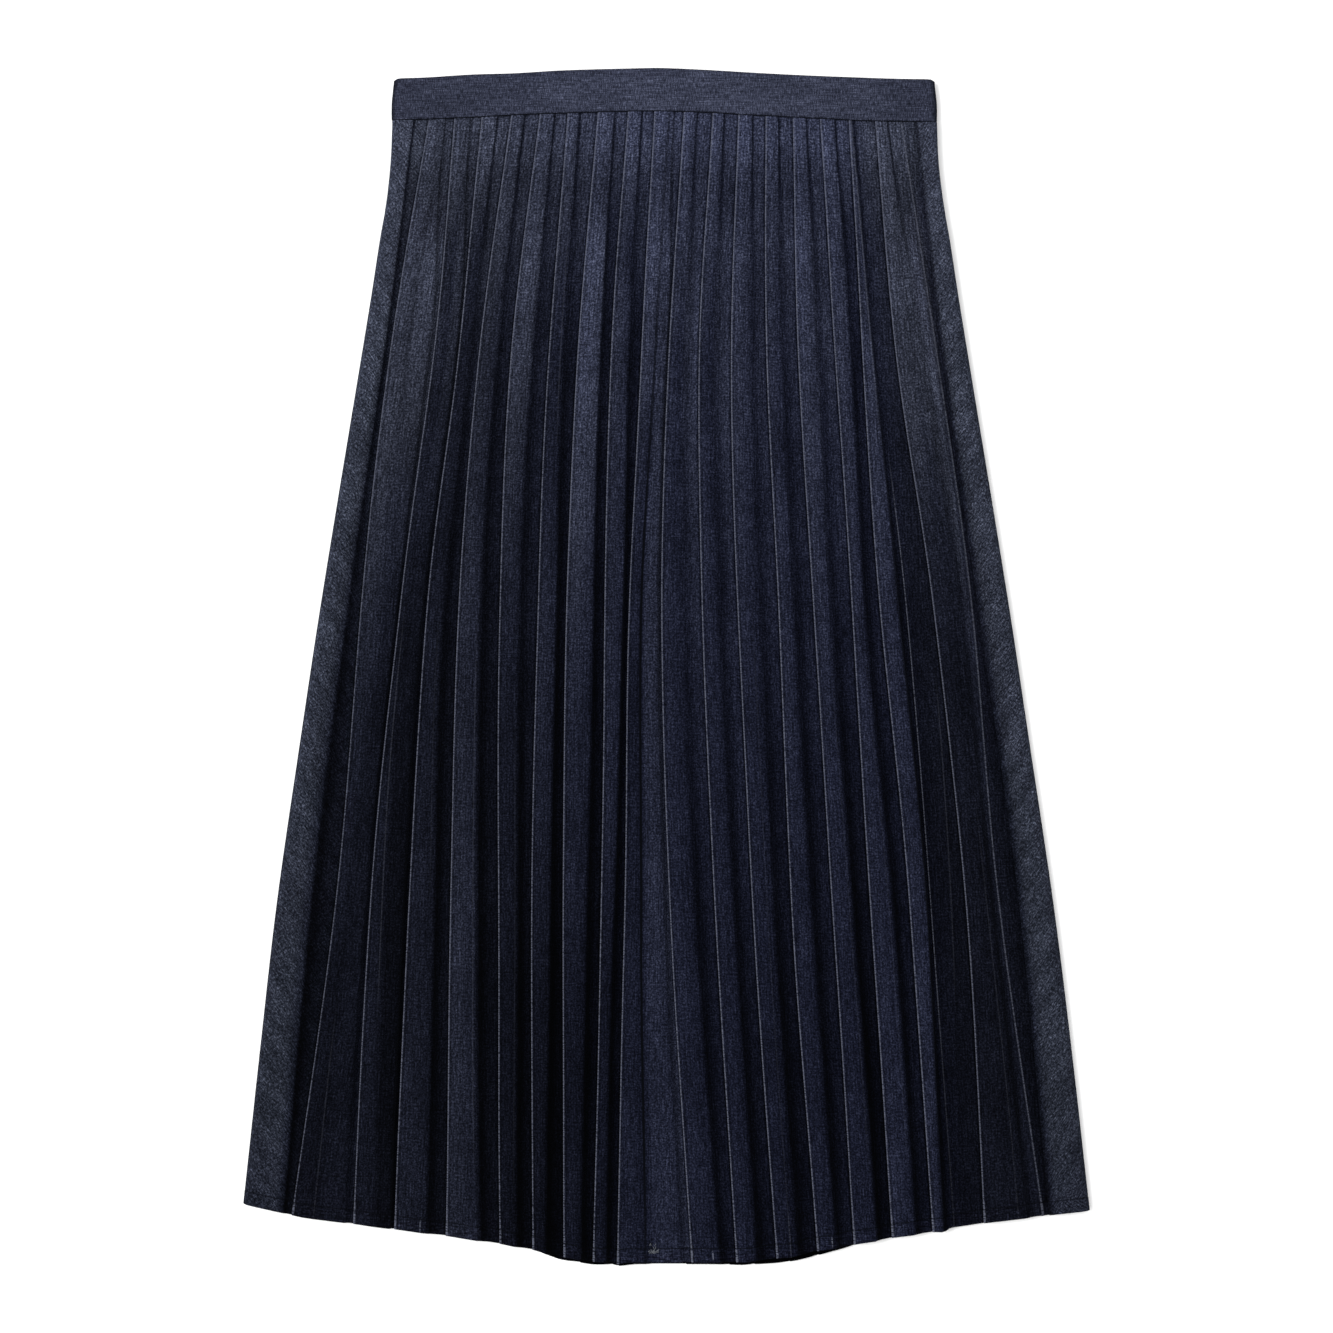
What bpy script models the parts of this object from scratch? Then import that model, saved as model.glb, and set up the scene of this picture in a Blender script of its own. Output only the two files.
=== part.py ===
"""A pleated midi skirt, laid flat: a plain waistband over an A-line skirt of knife pleats.

The skirt lies on its back on the XY plane, waist towards +Y and hem towards -Y, front up (+Z).
Its cloth is a wall that runs through level lines across the panel. Every line has the same folds:
at each pleat the wall passes under the crease, turns back at an inner fold, turns over again at the
crease and goes on as the face of the pleat. The back panel is the front turned over, with its faces
flat on the ground. Widths are in metres; the tables are in millimetres.
"""

from collections import namedtuple

import bmesh
import bpy

MM = 0.001

# ---------------------------------------------------------------- driving dimensions
WALL = 1.0 * MM                # cloth of a panel
LAYER_GAP = 0.4 * MM           # air between the layers of a pleat
SEAM_GAP = 0.3 * MM            # between pieces that are sewn together
BAND_WALL = 2.0 * MM           # waistband: two layers of cloth and a stiffener
BAND_EDGE = 0.5 * MM           # rounding of the waistband's edges

BAND_TOP = (-185.5 * MM, 182.5 * MM)    # ends of the waistband's top edge, left and right
BAND_SEAM = (-187.0 * MM, 184.0 * MM)   # ends of the seam under it
BAND_BACK_DROP = 2.5 * MM      # the back band's top edge lies this much lower

FOLD_OVER = 1.5 * MM           # how far a face runs on past its inner fold
FOOT_SHARE = 0.75              # where the face reaches its base, between that point and the next crease
FOOT_CLEAR = 1.0 * MM          # the least it keeps from the next crease
SIDE_INNER = 6.0 * MM          # depth of the inner fold beneath the right side strip
SIDE_ROLL = (8.0 * MM, 14.0 * MM)   # width over which a side strip rolls down, at seam and at hem
RIDGE = 1.6 * MM               # height of the loose crease beside the right side strip
BACK_LIP = 2.0 * MM            # how far the back hem shows below the front hem
LIP_REACH = 95.0 * MM          # half the width over which it shows
LIP_CENTRE = 10.0 * MM

LAYER = WALL + LAYER_GAP
STACK = 3 * WALL + 2 * LAYER_GAP               # three layers, outside to outside
LOW, MIDDLE, HIGH = (WALL / 2 + n * LAYER for n in range(3))
FRONT_BASE = STACK + SEAM_GAP                  # what the front panel lies on
EDGE_BASE = WALL + SEAM_GAP                    # the same at the side edges

# ---------------------------------------------------------------- tables
# The waistband's long edges: its top, and the seam under it. The right side has sunk a little.
Band = namedtuple("Band", "across top seam")
BAND = [
    Band(-187, 399.9, 371.8),
    Band(-165, 400.5, 372.0),
    Band(-133, 402.5, 373.4),
    Band(-102, 403.5, 375.1),
    Band(-70, 405.4, 376.3),
    Band(-20, 406.8, 377.7),
    Band(-3, 407.0, 377.7),
    Band(29, 405.6, 376.7),
    Band(61, 403.7, 374.8),
    Band(94, 402.0, 373.2),
    Band(127, 400.7, 371.4),
    Band(160, 399.6, 370.6),
    Band(185, 399.4, 370.6),
]

# Outline of the panels: share of the length below the seam, and both side edges.
Edge = namedtuple("Edge", "down left right")
OUTLINE = [
    Edge(0.000, -186.5, 184.0),
    Edge(0.035, -187.5, 185.0),
    Edge(0.075, -190.5, 188.5),
    Edge(0.110, -195.0, 193.0),
    Edge(0.167, -201.5, 199.5),
    Edge(0.440, -234.5, 232.5),
    Edge(0.570, -249.0, 247.0),
    Edge(0.720, -265.0, 263.5),
    Edge(0.850, -276.0, 275.5),
    Edge(1.000, -288.0, 288.0),
]

# Hem of the front panel.
Hem = namedtuple("Hem", "across y")
HEM = [
    Hem(-288, -365.5),
    Hem(-248, -374.5),
    Hem(-212, -379.0),
    Hem(-150, -387.0),
    Hem(-113, -392.5),
    Hem(-91, -396.5),
    Hem(-70, -401.5),
    Hem(-50, -404.5),
    Hem(-33, -405.0),
    Hem(52, -405.0),
    Hem(84, -401.5),
    Hem(102, -397.5),
    Hem(128, -393.0),
    Hem(153, -388.5),
    Hem(181, -384.5),
    Hem(190, -384.0),
    Hem(193, -382.0),
    Hem(216, -378.5),
    Hem(256, -373.5),
    Hem(288, -370.0),
]

# Where along the length the pleat table's positions are taken.
STATIONS = (0.0, 0.21, 0.43, 0.70, 1.0)

# One row for each pleat: its crease across the panel at each station, the share of the way to the
# next crease at which its inner fold lies (at the seam and at the hem), and how far the face stands
# up over that fold on the lower skirt.
Pleat = namedtuple("Pleat", "seam hip knee calf hem inner inner_hem stand")
PLEATS = [
    Pleat(-161.5, -187.5, -206.5, -224.0, -254.5, 0.54, 0.45, 1.0),
    Pleat(-144.0, -158.0, -180.0, -201.0, -212.5, 0.50, 0.46, 1.8),
    Pleat(-125.5, -141.0, -162.0, -175.0, -184.5, 0.50, 0.46, 2.4),
    Pleat(-105.5, -127.0, -141.0, -146.5, -150.0, 0.52, 0.54, 3.0),
    Pleat(-86.0, -105.5, -113.0, -114.5, -113.0, 0.52, 0.50, 2.2),
    Pleat(-67.0, -79.5, -87.5, -91.5, -91.0, 0.52, 0.48, 2.4),
    Pleat(-46.5, -60.5, -67.5, -70.5, -69.5, 0.54, 0.54, 2.8),
    Pleat(-26.0, -37.5, -42.0, -44.5, -49.5, 0.54, 0.48, 2.4),
    Pleat(-8.0, -17.0, -25.5, -28.5, -33.5, 0.48, 0.38, 1.5),
    Pleat(12.0, 2.0, -3.5, 2.5, 17.5, 0.48, 0.50, 2.0),
    Pleat(31.5, 22.5, 24.0, 33.5, 47.5, 0.47, 0.54, 2.4),
    Pleat(49.0, 44.0, 48.5, 59.0, 75.0, 0.46, 0.56, 2.2),
    Pleat(67.5, 68.0, 76.0, 85.5, 102.5, 0.50, 0.52, 2.8),
    Pleat(86.0, 89.5, 99.5, 113.0, 128.0, 0.50, 0.54, 3.0),
    Pleat(104.5, 114.5, 126.0, 138.5, 153.5, 0.50, 0.50, 2.8),
    Pleat(124.0, 133.5, 144.5, 165.0, 181.0, 0.42, 0.26, 3.2),
    Pleat(142.0, 156.0, 180.0, 203.0, 216.0, 0.52, 0.44, 1.6),
]

# The folds beside the side strips: where the left strip steps down, the loose crease inside the
# right strip, and that strip's own edge.
Fold = namedtuple("Fold", "seam hip knee calf hem")
LEFT_STEP = Fold(-172.0, -191.5, -215.5, -242.0, -260.5)
RIGHT_CREASE = Fold(159.0, 183.0, 206.0, 224.5, 255.5)
RIGHT_EDGE = Fold(170.0, 187.5, 210.5, 238.5, 260.5)

# How much of its stand a pleat has, from seam to hem.
SWELL = (0.0, 0.35, 0.85, 1.0, 0.8)

FRONT_LINES = (0, 0.03, 0.07, 0.12, 0.18, 0.25, 0.33, 0.42, 0.52, 0.62, 0.72, 0.82, 0.92, 1)
BACK_LINES = (0, 0.04, 0.10, 0.18, 0.30, 0.45, 0.62, 0.80, 1)

CLOTH_COLOUR = (0.020, 0.024, 0.042, 1.0)
BAND_COLOUR = (0.042, 0.048, 0.078, 1.0)


# ---------------------------------------------------------------- reading the tables
def mix(start, end, share):
    return start + (end - start) * share


def straight(rows, at):
    """Read a table of (place, value) rows by straight lines between them."""
    for (near, low), (far, high) in zip(rows, rows[1:]):
        if at <= far:
            return mix(low, high, (at - near) / (far - near))
    return rows[-1][1]


def smooth(places, values, at):
    """Read values at rising places with a curve that keeps to its points."""
    last = len(places) - 1
    cell = max(i for i in range(last) if at >= places[i]) if at > places[0] else 0
    span = places[cell + 1] - places[cell]

    def slope(i):
        before, after = max(i - 1, 0), min(i + 1, last)
        return (values[after] - values[before]) / (places[after] - places[before])

    t = (at - places[cell]) / span
    ease = t * t * (3 - 2 * t)
    start_bend = t * (1 - t) ** 2 * span * slope(cell)
    end_bend = t * t * (1 - t) * span * slope(cell + 1)
    return mix(values[cell], values[cell + 1], ease) + start_bend - end_bend


def side_edges(down):
    """The two side edges of a panel at a share of its length."""
    places = [row.down for row in OUTLINE]
    left = smooth(places, [row.left for row in OUTLINE], down)
    right = smooth(places, [row.right for row in OUTLINE], down)
    return left * MM, right * MM


def crease_at(row, down):
    """A crease's place across the panel, from its first five columns."""
    return smooth(STATIONS, row[:5], down) * MM


def band_top_y(across):
    return smooth([row.across for row in BAND], [row.top for row in BAND], across / MM) * MM


def seam_y(across):
    return smooth([row.across for row in BAND], [row.seam for row in BAND], across / MM) * MM


def hem_y(across):
    return straight([(row.across * MM, row.y * MM) for row in HEM], across)


def back_lip(across):
    """How far the back hem hangs below the front hem, fading out to both sides."""
    reach = min(abs(across - LIP_CENTRE) / LIP_REACH, 1)
    return BACK_LIP * (1 - reach ** 4)


def length_y(across, down, lips):
    """Y of a point that is so far down and so far across; lips is 1 on the back, 0 on the front."""
    left, right = side_edges(down)
    share = (across - left) / (right - left)
    seam_across = mix(*side_edges(0), share)
    hem_across = mix(*side_edges(1), share)
    bottom = hem_y(hem_across) - lips * back_lip(hem_across)
    return mix(seam_y(seam_across) - SEAM_GAP, bottom, down)


# ---------------------------------------------------------------- folds along one line
def turn(crease, inner, rise):
    """The wall goes in under a crease to its inner fold, and back out over it."""
    return [
        (inner, LOW),
        (inner, MIDDLE + rise / 2),
        (crease, MIDDLE),
        (crease, HIGH),
    ]


def face(inner, crease_after, rise):
    """The face of a pleat steps off its inner fold and comes down before the next crease."""
    step = inner + FOLD_OVER
    foot = min(mix(step, crease_after, FOOT_SHARE), crease_after - FOOT_CLEAR)
    return [(step, HIGH + rise), (foot, LOW)]


def fold_line(down, edge, stand):
    """Centre of the wall along one line across the panel: (across, height) from left to right.

    edge is the height at the side edges, and stand scales how far the pleats stand up.
    """
    left, right = side_edges(down)
    roll = mix(*SIDE_ROLL, down)
    swell = stand * smooth(STATIONS, SWELL, down)
    creases = [crease_at(row, down) for row in PLEATS]
    loose = crease_at(RIGHT_CREASE, down)
    strip = crease_at(RIGHT_EDGE, down)
    step = crease_at(LEFT_STEP, down)

    line = [(left, edge), (min(left + roll, step - WALL), HIGH), (step, HIGH)]
    line.append((mix(step, creases[0], FOOT_SHARE) - FOOT_CLEAR / 2, LOW))
    for row, crease, after in zip(PLEATS, creases, creases[1:] + [loose]):
        inner = mix(crease, after, mix(row.inner, row.inner_hem, down))
        rise = row.stand * MM * swell
        line += turn(crease, inner, rise)
        line += face(inner, after, rise)
    line += [(loose, LOW + RIDGE * stand), (mix(loose, strip, FOOT_SHARE), LOW)]
    line += turn(strip, strip + SIDE_INNER, 0)
    line += [(max(right - roll, strip + SIDE_INNER + FOLD_OVER), HIGH), (right, edge)]
    return line


def offset(line, distance):
    """Move a folded line sideways by a distance, with mitred corners."""
    moved = []
    for i, (across, height) in enumerate(line):
        before = line[max(i - 1, 0)]
        after = line[min(i + 1, len(line) - 1)]
        normals = []
        for start, end in ((before, (across, height)), ((across, height), after)):
            run, climb = end[0] - start[0], end[1] - start[1]
            size = (run * run + climb * climb) ** 0.5
            if size > 0:
                normals.append((-climb / size, run / size))
        normal_x = sum(n[0] for n in normals) / len(normals)
        normal_z = sum(n[1] for n in normals) / len(normals)
        reach = distance / (normal_x ** 2 + normal_z ** 2)
        moved.append((across + normal_x * reach, height + normal_z * reach))
    return moved


# ---------------------------------------------------------------- pieces
def finish(name, mesh, colour, collection):
    """Put a mesh in the skirt's collection with a cloth material of its own."""
    obj = bpy.data.objects.new(name, mesh)
    collection.objects.link(obj)
    material = bpy.data.materials.new(name + "_cloth")
    material.use_nodes = True
    shader = material.node_tree.nodes["Principled BSDF"]
    shader.inputs["Base Color"].default_value = colour
    shader.inputs["Roughness"].default_value = 0.9
    shader.inputs["Metallic"].default_value = 0.0
    mesh.materials.append(material)
    return obj


def pleated_panel(name, lines, place, collection):
    """Loft the folded wall through its lines; place(down) gives each line's ring of points."""
    mesh = bpy.data.meshes.new(name)
    bm = bmesh.new()
    rings = [[bm.verts.new(point) for point in place(down)] for down in lines]
    size = len(rings[0])
    for upper, lower in zip(rings, rings[1:]):
        for i in range(size):
            after = (i + 1) % size
            bm.faces.new((upper[i], upper[after], lower[after], lower[i]))
    for ring in (rings[0], rings[-1]):
        for i in range(size // 2 - 1):
            bm.faces.new((ring[i], ring[i + 1], ring[size - 2 - i], ring[size - 1 - i]))
    bmesh.ops.recalc_face_normals(bm, faces=bm.faces)
    bm.to_mesh(mesh)
    bm.free()
    return finish(name, mesh, CLOTH_COLOUR, collection)


def wall_ring(line):
    """The wall around a folded line: its outer points, then its inner ones back again."""
    return offset(line, WALL / 2) + offset(line, -WALL / 2)[::-1]


def front_panel(collection):
    edge = EDGE_BASE + WALL / 2 - FRONT_BASE

    def place(down):
        ring = wall_ring(fold_line(down, edge, 1))
        return [(x, length_y(x, down, 0), FRONT_BASE + height) for x, height in ring]

    return pleated_panel("skirt_front", FRONT_LINES, place, collection)


def back_panel(collection):
    """The front turned over within the same outline, its faces flat on the ground."""

    def place(down):
        both_edges = sum(side_edges(down))
        ring = [(both_edges - x, height) for x, height in wall_ring(fold_line(down, HIGH, 0))]
        return [(x, length_y(x, down, 1), STACK - height) for x, height in ring]

    return pleated_panel("skirt_back", BACK_LINES, place, collection)


def waistband(name, centre_z, top_drop, collection):
    """A band of stiffened cloth: a grid bent to the waist's curve, given its wall and soft edges."""
    mesh = bpy.data.meshes.new(name)
    bm = bmesh.new()
    bmesh.ops.create_grid(bm, x_segments=28, y_segments=2, size=1)
    for vert in bm.verts:
        along, up = (vert.co.x + 1) / 2, (vert.co.y + 1) / 2
        across = mix(mix(*BAND_SEAM, along), mix(*BAND_TOP, along), up)
        bottom = seam_y(across)
        top = band_top_y(across) - top_drop
        vert.co = (across, mix(bottom, top, up), centre_z(abs(vert.co.x)))
    bm.to_mesh(mesh)
    bm.free()
    obj = finish(name, mesh, BAND_COLOUR, collection)
    wall = obj.modifiers.new("wall", "SOLIDIFY")
    wall.thickness = BAND_WALL
    wall.offset = 0
    edges = obj.modifiers.new("soft edges", "BEVEL")
    edges.width = BAND_EDGE
    edges.segments = 2
    edges.limit_method = "ANGLE"
    return obj


def waistbands(collection):
    """The back band rests on the ground; the front one arches over it from side to side."""
    side_z = BAND_WALL * 1.5 + SEAM_GAP
    field_z = FRONT_BASE + MIDDLE
    roll_from = 0.92

    def front_z(share):
        fall = max(share - roll_from, 0) / (1 - roll_from)
        return mix(field_z, side_z, fall * fall)

    waistband("waistband_front", front_z, 0, collection)
    waistband("waistband_back", lambda share: BAND_WALL / 2, BAND_BACK_DROP, collection)


def build():
    for obj in list(bpy.data.objects):
        bpy.data.objects.remove(obj, do_unlink=True)
    collection = bpy.data.collections.new("pleated_midi_skirt")
    bpy.context.scene.collection.children.link(collection)
    waistbands(collection)
    front_panel(collection)
    back_panel(collection)


build()
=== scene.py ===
"""The looks of a pleated midi skirt that lies flat on its back.

The cloth is dark indigo, pressed into knife pleats under a plain waistband. Each panel is one
folded sheet with a real thickness: its way across the skirt is worked out from the pleat table,
line by line, and lofted from the waist to the hem. Lengths are in metres, the tables in
millimetres.
"""

import math
import random
from collections import defaultdict, namedtuple

import bmesh
import bpy
import numpy as np
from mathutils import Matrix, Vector


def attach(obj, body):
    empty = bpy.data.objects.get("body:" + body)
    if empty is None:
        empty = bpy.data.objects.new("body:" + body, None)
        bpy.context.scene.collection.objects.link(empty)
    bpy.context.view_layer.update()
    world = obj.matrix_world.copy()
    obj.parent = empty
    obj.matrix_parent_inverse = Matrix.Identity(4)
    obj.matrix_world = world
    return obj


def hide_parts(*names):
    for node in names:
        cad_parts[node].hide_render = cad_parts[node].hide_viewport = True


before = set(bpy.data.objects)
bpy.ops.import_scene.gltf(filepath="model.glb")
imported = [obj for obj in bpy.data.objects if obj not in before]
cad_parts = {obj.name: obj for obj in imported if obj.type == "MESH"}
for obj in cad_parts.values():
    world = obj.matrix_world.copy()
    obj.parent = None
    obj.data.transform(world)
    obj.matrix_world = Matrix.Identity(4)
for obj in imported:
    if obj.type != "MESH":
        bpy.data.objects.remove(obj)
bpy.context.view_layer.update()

MM = 0.001
TAU = 2 * math.pi
rng = random.Random(7)
SWAY, RISE, DRIFT = 100, 200, 300      # what sets the slow drifts of one pleat apart from another's
LEFT_WAVE, RIGHT_WAVE = 31, 32         # and those of the side strips

# ---------------------------------------------------------------- cloth and layers
CLOTH = 0.55 * MM              # thickness of the cloth
TURN_UP = 9.5 * MM             # height of the hem's turn-up, which is sewn along its top
TURN_UP_IN = 0.32 * MM         # how much the turned-up layer adds on the inside
TURN_UP_OUT = 0.10 * MM        # and how much it presses through
HEM_STEP = 0.5 * MM            # the height over which it steps out
HEM_GROOVE = 0.10 * MM         # how deep the stitches pull in along its top
HEM_GROOVE_HALF = 0.35 * MM    # and half the width of that
HEM_ROUND = 0.45 * MM          # the fold at the very edge
HEM_RIM = 0.45                 # painted shade of that edge, of the cloth's beside it
LIP_RIM = 0.25                 # and of the back's, which shows below it
HEM_RIM_HEIGHT = 0.8 * MM      # the height over which both fade
LIP_ZONE = 5.0 * MM            # how high up the back's edge is looked for
INSIDE = 0.8                   # painted shade of the cloth's inner side, of its outer side's
SEAM_LAYER = 0.66 * MM         # from layer to layer of a pleat, pressed flat in the waist seam
LAYER = 1.4 * MM               # and where the pleats have opened
SETTLE = 0.12                  # share of the length over which they open
FRONT_MIDDLE = 6.05 * MM       # height of the middle layer of the front
BACK_SEAM_MIDDLE = 1.0 * MM    # height of the back's middle layer in the waist seam
SEAM_GAP = 0.3 * MM            # between the waistband and the panels
FOLD_OVER = 0.6 * MM           # how far a face runs on past its inner fold
ROUND_OFF = 0.8 * MM           # and how far before its end it starts to round over
FOOT_CLEAR = 1.2 * MM          # the least a face's foot keeps from the next crease
UNDER_CREASE = 0.35 * MM       # where the cloth goes in under the next crease
UNDER_SPREAD = 1.8 * MM        # and how far out of there it is in its shadow
FOOT_AT_SEAM = 0.28            # share of a valley that the fall takes up while it is pressed flat
SPREAD = 0.16                  # share of the length over which it spreads to its full width
FOLD_WIDTH = 1.0 * MM          # half the width of a loose fold in a valley
RIDGE = 1.7 * MM               # height of the loose crease beside the right side strip
SIDE_INNER = 6.0 * MM          # depth of the inner fold beneath the right side strip
SIDE_ROLL = 5.0 * MM           # width over which a side strip rolls down to the side seam
STRIP_WAVE = 0.3 * MM          # how far the strip waves up and down along its length
FRONT_EDGE = 1.65 * MM         # height of the front's side edges
BACK_EDGE = 0.75 * MM          # height of the back's side edges
PANEL_LENGTH = 0.775           # a panel's length from waist seam to hem, near enough
BIAS_TURN = math.radians(38)   # the side strips' grain runs across their length

# ---------------------------------------------------------------- tables
# The waistband's long edges: its top, and the seam under it.
Band = namedtuple("Band", "across top seam")
BAND = [
    Band(-187, 399.9, 371.8), Band(-165, 400.5, 372.0), Band(-133, 402.5, 373.4),
    Band(-102, 403.5, 375.1), Band(-70, 405.4, 376.3), Band(-20, 406.8, 377.7),
    Band(-3, 407.0, 377.7), Band(29, 405.6, 376.7), Band(61, 403.7, 374.8),
    Band(94, 402.0, 373.2), Band(127, 400.7, 371.4), Band(160, 399.6, 370.6),
    Band(185, 399.4, 370.6),
]
BAND_TOP = (-185.5 * MM, 182.5 * MM)     # where these two edges begin and end
BAND_SEAM = (-187.0 * MM, 184.0 * MM)

# Outline of the panels: share of the length below the seam, and both side edges.
Edge = namedtuple("Edge", "down left right")
OUTLINE = [
    Edge(0.000, -186.5, 184.0),
    Edge(0.035, -187.5, 185.0),
    Edge(0.075, -190.5, 188.5),
    Edge(0.110, -195.0, 193.0),
    Edge(0.167, -201.5, 199.5),
    Edge(0.440, -234.5, 232.5),
    Edge(0.570, -249.0, 247.0),
    Edge(0.720, -265.0, 263.5),
    Edge(0.850, -276.0, 275.5),
    Edge(1.000, -288.0, 288.0),
]

# Hem of the front panel.
Hem = namedtuple("Hem", "across y")
HEM = [
    Hem(-288, -365.5), Hem(-248, -374.5), Hem(-212, -379.0), Hem(-150, -387.0),
    Hem(-113, -392.5), Hem(-91, -396.5), Hem(-70, -401.5), Hem(-50, -404.5), Hem(-37, -405.0),
    Hem(-34, -406.2), Hem(-29, -406.3), Hem(-28, -405.1), Hem(52, -405.0), Hem(84, -401.5),
    Hem(102, -397.5), Hem(128, -393.0), Hem(153, -388.5), Hem(181, -384.5), Hem(190, -384.0),
    Hem(193, -382.0), Hem(216, -378.5), Hem(256, -373.5), Hem(288, -370.0),
]

# How far the back hem hangs below the front hem.
Lip = namedtuple("Lip", "across drop")
LIPS = [
    Lip(-288, 0.0), Lip(-92, 0.2), Lip(-74, 2.6), Lip(-50, 2.6), Lip(-30, 1.7), Lip(30, 1.8),
    Lip(52, 2.4), Lip(72, 3.4), Lip(90, 3.8), Lip(104, 3.4), Lip(120, 1.8), Lip(132, 0.2),
    Lip(288, 0.0),
]

# Where along the length the pleat table's positions are taken.
STATIONS = (0.0, 0.21, 0.43, 0.70, 1.0)

# One row for each pleat: its crease at each station, how far the face stands up over its inner
# fold, how long it stays up past that fold, how sharply it then falls (low is sharp), and how
# pale its crease has worn.
Pleat = namedtuple("Pleat", "seam hip knee calf hem stand hold fall worn")
PLEATS = [
    Pleat(-161.5, -187.5, -206.5, -224.0, -254.5, 1.0, 0.80, 0.80, 0.75),
    Pleat(-144.0, -158.0, -180.0, -201.0, -212.5, 1.8, 0.80, 0.65, 0.95),
    Pleat(-125.5, -141.0, -162.0, -175.0, -184.5, 2.4, 0.10, 0.75, 1.00),
    Pleat(-105.5, -127.0, -141.0, -146.5, -150.0, 3.0, 0.00, 0.50, 1.00),
    Pleat(-86.0, -105.5, -113.0, -114.5, -113.0, 2.2, 0.00, 0.60, 0.95),
    Pleat(-67.0, -79.5, -87.5, -91.5, -91.0, 2.4, 0.00, 0.65, 0.95),
    Pleat(-46.5, -60.5, -67.5, -70.5, -69.5, 2.8, 0.05, 0.65, 1.00),
    Pleat(-26.0, -37.5, -42.0, -44.5, -49.5, 2.4, 0.00, 0.60, 1.00),
    Pleat(-8.0, -17.0, -25.5, -28.5, -33.5, 1.5, 0.80, 0.80, 1.00),
    Pleat(12.0, 2.0, -3.5, 2.5, 17.5, 2.0, 0.15, 0.80, 1.00),
    Pleat(31.5, 22.5, 24.0, 33.5, 47.5, 2.4, 0.05, 0.70, 1.00),
    Pleat(49.0, 44.0, 48.5, 59.0, 75.0, 2.2, 0.15, 0.80, 1.00),
    Pleat(67.5, 68.0, 76.0, 85.5, 102.5, 2.8, 0.00, 0.60, 1.00),
    Pleat(86.0, 89.5, 99.5, 113.0, 128.0, 3.0, 0.00, 0.50, 0.95),
    Pleat(104.5, 114.5, 126.0, 138.5, 153.5, 2.8, 0.00, 0.60, 0.95),
    Pleat(124.0, 133.5, 144.5, 165.0, 181.0, 3.2, 0.00, 0.45, 0.95),
    Pleat(142.0, 156.0, 180.0, 203.0, 216.0, 1.6, 0.20, 0.80, 0.85),
]

# How far each pleat's face reaches at each station, as a share of the way to the next crease.
Reach = namedtuple("Reach", "seam hip knee calf hem")
REACHES = [
    Reach(0.55, 0.46, 0.58, 0.42, 0.38),
    Reach(0.48, 0.50, 0.24, 0.36, 0.48),
    Reach(0.50, 0.52, 0.46, 0.55, 0.54),
    Reach(0.45, 0.52, 0.51, 0.53, 0.58),
    Reach(0.51, 0.53, 0.50, 0.55, 0.48),
    Reach(0.36, 0.48, 0.61, 0.56, 0.39),
    Reach(0.54, 0.63, 0.66, 0.58, 0.55),
    Reach(0.49, 0.55, 0.74, 0.51, 0.49),
    Reach(0.56, 0.54, 0.44, 0.42, 0.41),
    Reach(0.40, 0.36, 0.38, 0.45, 0.53),
    Reach(0.41, 0.38, 0.40, 0.42, 0.45),
    Reach(0.48, 0.45, 0.39, 0.43, 0.39),
    Reach(0.45, 0.45, 0.38, 0.45, 0.44),
    Reach(0.46, 0.49, 0.42, 0.49, 0.56),
    Reach(0.48, 0.52, 0.42, 0.52, 0.52),
    Reach(0.12, 0.34, 0.33, 0.29, 0.19),
    Reach(0.42, 0.50, 0.54, 0.72, 0.64),
]

# Lines over the pleats' inner folds, as (share of the length, paleness) from the top down: worn
# pale, and where the paleness is negative, a sunk line in painted shade. Pleats are counted from the
# left, from 1.
RUBS = {
    1: ((0.08, 0.0), (0.14, -0.15), (0.28, -0.22), (0.36, 0.0), (0.80, 0.0), (0.86, 0.12)),
    2: ((0.44, 0.0), (0.50, 0.20), (0.76, 0.16), (0.82, 0.0)),
    3: ((0.44, 0.0), (0.48, 0.06), (0.66, 0.06), (0.72, 0.0), (0.987, 0.0), (0.989, 0.7)),
    4: ((0.44, 0.0), (0.52, 0.15), (0.90, 0.12), (0.95, 0.0)),
    5: ((0.50, 0.0), (0.60, 0.05), (0.90, 0.05), (0.97, 0.0)),
    6: ((0.08, 0.0), (0.12, 0.15), (0.25, 0.15), (0.30, 0.0)),
    9: ((0.10, -0.4), (0.40, -1.0), (0.90, -1.0), (1.00, -0.6)),
    10: ((0.990, 0.0), (0.991, 1.0), (0.996, 1.0), (0.998, 0.0)),
    12: ((0.40, 0.0), (0.50, 0.06), (0.968, 0.06), (0.972, 0.25)),
    13: ((0.990, 0.0), (0.991, 1.0), (0.997, 1.0), (0.999, 0.0)),
    14: ((0.45, 0.0), (0.55, 0.06), (0.90, 0.06), (0.95, 0.0)),
    15: ((0.45, 0.0), (0.55, 0.06), (0.90, 0.06), (0.95, 0.0)),
    16: ((0.12, 0.35), (0.24, 0.25), (0.30, 0.0)),
    17: ((0.60, 0.0), (0.70, 0.10)),
}

NO_RUB = ((0.0, 0.0), (1.0, 0.0))

# Loose folds of the hidden cloth that show in a pleat's valley: their places at each station, as a
# share of the way to the next crease, their height in mm, and how pale they have worn.
Loose = namedtuple("Loose", "seam hip knee calf hem height pale")
LOOSE_FOLDS = {
    16: (Loose(0.40, 0.46, 0.50, 0.38, 0.42, 0.9,
               ((0.30, 0.0), (0.38, 0.9), (0.74, 0.9), (0.84, 0.2), (1.00, 0.1))),
         Loose(0.70, 0.80, 0.92, 0.75, 0.55, 0.4,
               ((0.50, 0.0), (0.54, 0.15), (0.75, 0.12), (0.80, 0.0)))),
}
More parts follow.
